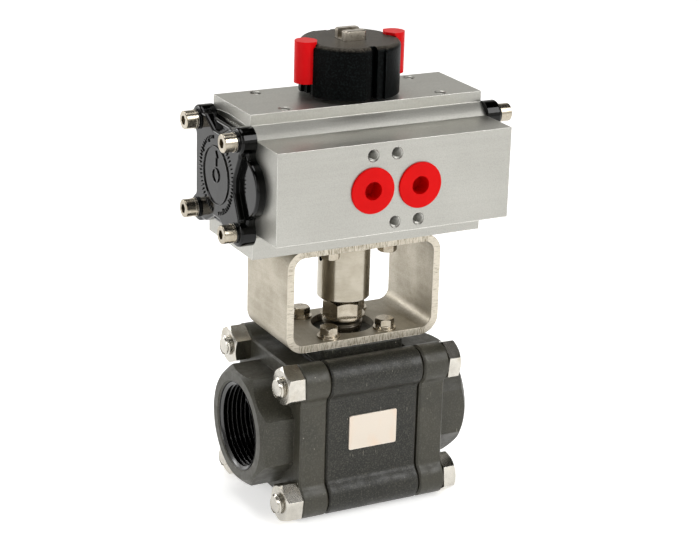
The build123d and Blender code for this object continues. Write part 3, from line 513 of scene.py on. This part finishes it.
def add_ring(shape, plane, radius, width, low, high, steps=96):
    """A raised circular bead on a plane."""
    origin, across, up, out = plane
    rows = []
    for i in range(steps + 1):
        angle = 2 * pi * i / steps
        outward = across * cos(angle) + up * sin(angle)
        row = []
        for offset, level in ((-width / 2, low), (-width / 4, high), (width / 4, high), (width / 2, low)):
            row.append(origin + outward * (radius + offset) + out * level)
        rows.append(row)
    shape.strip(rows, closed_row=False, caps=False)


# ---------------------------------------------------------------- added pieces
def make_pipe_threads(finishes):
    """Parallel pipe thread in both sockets."""
    length = 19.6 * MM
    for side, word in ((-1, "left"), (1, "right")):
        shape = Shape()
        start = (side * (PIPE_END_X - THREAD_INSET), 0, FLOW_Z)
        add_thread(shape, start, (-side, 0, 0), length, *PIPE_THREAD, steps=96)
        shape.piece(f"pipe_thread_{word}", finishes["shaded_oiled_threads"], "housing")


def make_tapped_threads(finishes):
    """M5 threads inside the tapped holes of the actuator's top plate and port face."""
    shape = Shape()
    top_length = 6 * MM
    port_length = 7 * MM
    for x in (-TOP_HOLE_X, TOP_HOLE_X):
        for y in (-TOP_HOLE_Y, TOP_HOLE_Y):
            start = (x, y, TOP_Z - THREAD_INSET)
            add_thread(shape, start, (0, 0, -1), top_length, *TAPPED_THREAD, steps=24)
    for x, z in ((-PORT_X, PORT_HOLE_Z), (0, PORT_HOLE_Z), (0, -PORT_HOLE_Z), (PORT_X, -PORT_HOLE_Z)):
        start = (x, FRONT_Y + THREAD_INSET, CYL_Z + z)
        add_thread(shape, start, (0, 1, 0), port_length, *TAPPED_THREAD, steps=24)
    shape.piece("tapped_hole_threads", finishes["anodised_aluminium"], "housing")


def make_bolt_threads(finishes):
    """M10 threads on the ends of the body bolts, and the M12 thread of the stem above its nut."""
    shape = Shape()
    for y in (-BOLT_POS, BOLT_POS):
        for z in (FLOW_Z - BOLT_POS, FLOW_Z + BOLT_POS):
            length = NUT_FACE_X - STUD_END_X - 0.3 * MM
            add_thread(shape, (NUT_FACE_X, y, z), (-1, 0, 0), length, *BOLT_THREAD)
    shape.piece("body_bolt_threads", finishes["zinc_steel"], "housing")
    shape = Shape()
    overlap = 0.4 * MM              # the thread starts inside the nut
    length = 2.4 * MM
    add_thread(shape, (0, 0, STEM_NUT_TOP - overlap), (0, 0, 1), length, *STEM_THREAD)
    shape.piece("stem_thread", finishes["stainless"], "stem")


def make_cap_marks(finishes):
    """Raised casting marks on the end caps: a dial of short ticks, two beads and a plain arrow."""
    for side, word in ((-1, "left"), (1, "right")):
        shape = Shape()
        out = Vector((side, 0, 0))
        plane = (Vector((side * CAP_FACE_X, 0, CYL_Z)), Vector((0, side, 0)), Vector((0, 0, 1)), out)
        low = -0.1 * MM
        high = 0.55 * MM
        tick_outer = 18.2 * MM
        tick_half = 0.30 * MM
        tick_limit = 17.9 * MM      # ticks that reach higher or lower than this are left out
        for k in range(60):
            angle = 2 * pi * k / 60
            tick_inner = (15.6 if k % 5 == 0 else 16.6) * MM
            if abs(sin(angle)) * tick_outer > tick_limit:
                continue
            c, s = cos(angle), sin(angle)
            corners = ((tick_inner, tick_half), (tick_inner, -tick_half),
                       (tick_outer, -tick_half), (tick_outer, tick_half))
            add_bar(shape, plane, [(r * c - h * s, r * s + h * c) for r, h in corners], low, high)
        add_ring(shape, plane, 13.4 * MM, 0.8 * MM, low, high)
        add_ring(shape, plane, 3.2 * MM, 0.7 * MM, low, high, 48)
        shaft_half, shaft_low, shaft_high = 0.65 * MM, 4.2 * MM, 8.6 * MM
        head_half, head_low, head_tip = 2.0 * MM, 8.4 * MM, 11.6 * MM
        add_bar(shape, plane, [(-shaft_half, shaft_low), (shaft_half, shaft_low),
                               (shaft_half, shaft_high), (-shaft_half, shaft_high)], low, high)
        add_bar(shape, plane, [(-head_half, head_low), (head_half, head_low), (0, head_tip)], low, high)
        shape.piece(f"cap_marks_{word}", finishes["black_coated_aluminium"], "housing",
                    smooth=False)


# ---------------------------------------------------------------- studio
def make_camera():
    """Long lens, slightly above, from the front left."""
    azimuth, elevation, roll = radians(-28.185), radians(19.491), radians(1.721)
    back = Vector((sin(azimuth) * cos(elevation), -cos(azimuth) * cos(elevation), sin(elevation)))
    right = (-back).cross(Vector((0, 0, 1))).normalized()
    up = right.cross(-back)
    tilted_right = right * cos(roll) + up * sin(roll)
    tilted_up = up * cos(roll) - right * sin(roll)
    target = Vector((3.598, 0, 104.10)) * MM
    distance = 988.8                # from the target, in mm
    data = bpy.data.cameras.new("camera")
    data.lens = 107.11
    data.sensor_width = 36
    data.clip_end = 50
    camera = bpy.data.objects.new("camera", data)
    bpy.context.scene.collection.objects.link(camera)
    turn = Matrix((tilted_right, tilted_up, back)).transposed().to_4x4()
    camera.matrix_world = Matrix.Translation(target + back * distance * MM) @ turn
    bpy.context.scene.camera = camera


def make_light(name, place, target, width, height, watts, colour=(1, 1, 1)):
    data = bpy.data.lights.new(name, "AREA")
    data.shape = "RECTANGLE"
    data.size = width
    data.size_y = height
    data.energy = watts
    data.color = colour
    lamp = bpy.data.objects.new(name, data)
    bpy.context.scene.collection.objects.link(lamp)
    lamp.location = place
    lamp.rotation_euler = (Vector(place) - Vector(target)).to_track_quat("Z", "Y").to_euler()


def make_world():
    """Bright from the horizon to about 20 degrees up and nearly dark overhead; white to the camera."""
    world = bpy.data.worlds.new("studio")
    bpy.context.scene.world = world
    world.use_nodes = True
    tree = world.node_tree
    background = tree.nodes["Background"]
    direction = tree.nodes.new("ShaderNodeTexCoord").outputs["Generated"]
    split = tree.nodes.new("ShaderNodeSeparateXYZ")
    tree.links.new(direction, split.inputs[0])
    ramp = tree.nodes.new("ShaderNodeValToRGB")
    tree.links.new(split.outputs[2], ramp.inputs[0])
    stops = ramp.color_ramp.elements
    stops[0].position = 0.0
    stops[0].color = (0.86, 0.85, 0.82, 1)
    stops[1].position = 0.74
    stops[1].color = (0.045, 0.04, 0.034, 1)
    for height, shade in ((0.36, (0.96, 0.945, 0.905)), (0.52, (0.42, 0.41, 0.385))):
        stops.new(height).color = (*shade, 1)
    # darker towards both sides, as beyond the edges of large front and back diffusers
    facing_y = tree.nodes.new("ShaderNodeMath")
    facing_y.operation = "ABSOLUTE"
    tree.links.new(split.outputs[1], facing_y.inputs[0])
    dim_below, full_above = 0.25, 0.7
    dim, full = 0.32, 1.0
    sides = tree.nodes.new("ShaderNodeMapRange")
    for k, value in enumerate((dim_below, full_above, dim, full)):
        sides.inputs[k + 1].default_value = value
    tree.links.new(facing_y.outputs[0], sides.inputs[0])
    tree.links.new(sides.outputs[0], background.inputs["Strength"])
    white = tree.nodes.new("ShaderNodeBackground")
    white.inputs["Color"].default_value = (1, 1, 1, 1)
    tree.links.new(ramp.outputs[0], background.inputs["Color"])
    seen = tree.nodes.new("ShaderNodeLightPath").outputs["Is Camera Ray"]
    mix = tree.nodes.new("ShaderNodeMixShader")
    tree.links.new(seen, mix.inputs[0])
    tree.links.new(background.outputs[0], mix.inputs[1])
    tree.links.new(white.outputs[0], mix.inputs[2])
    tree.links.new(mix.outputs[0], tree.nodes["World Output"].inputs[0])


def make_floor():
    """Plain white sweep under the object."""
    half = 5.0
    gap = 0.05 * MM
    level = cad_box[0].z - gap
    mesh = bpy.data.meshes.new("floor")
    mesh.from_pydata([(-half, -half, level), (half, -half, level), (half, half, level), (-half, half, level)],
                     [], [(0, 1, 2, 3)])
    m = Finish("floor_paper", Metallic=0.0)
    shade = m.blend(m.spread(m.noise(4, 2), 0.3, 0.7), (0.9, 0.9, 0.9, 1), (0.92, 0.92, 0.915, 1))
    m.shader.inputs["Emission Color"].default_value = (1, 1, 1, 1)
    m.shader.inputs["Emission Strength"].default_value = 0.5
    mesh.materials.append(m.done(shade, 0.8))
    floor = bpy.data.objects.new("floor", mesh)
    bpy.context.scene.collection.objects.link(floor)


def make_studio():
    make_camera()
    make_world()
    make_floor()
    centre = (0, 0, 0.11)
    make_light("key", (0.75, -1.0, 1.05), centre, 0.9, 0.9, 15)
    make_light("top", (-0.1, 0.25, 1.5), centre, 1.0, 1.0, 11)
    make_light("left_strip", (-1.25, -0.25, 0.55), centre, 0.25, 0.9, 4)
    make_light("back_left", (-0.8, 1.1, 0.5), centre, 0.5, 0.5, 4)
    scene = bpy.context.scene
    scene.view_settings.view_transform = "Standard"
    scene.view_settings.look = "None"


finishes = make_finishes()
paint(finishes)
make_pipe_threads(finishes)
make_tapped_threads(finishes)
make_bolt_threads(finishes)
make_cap_marks(finishes)
make_studio()
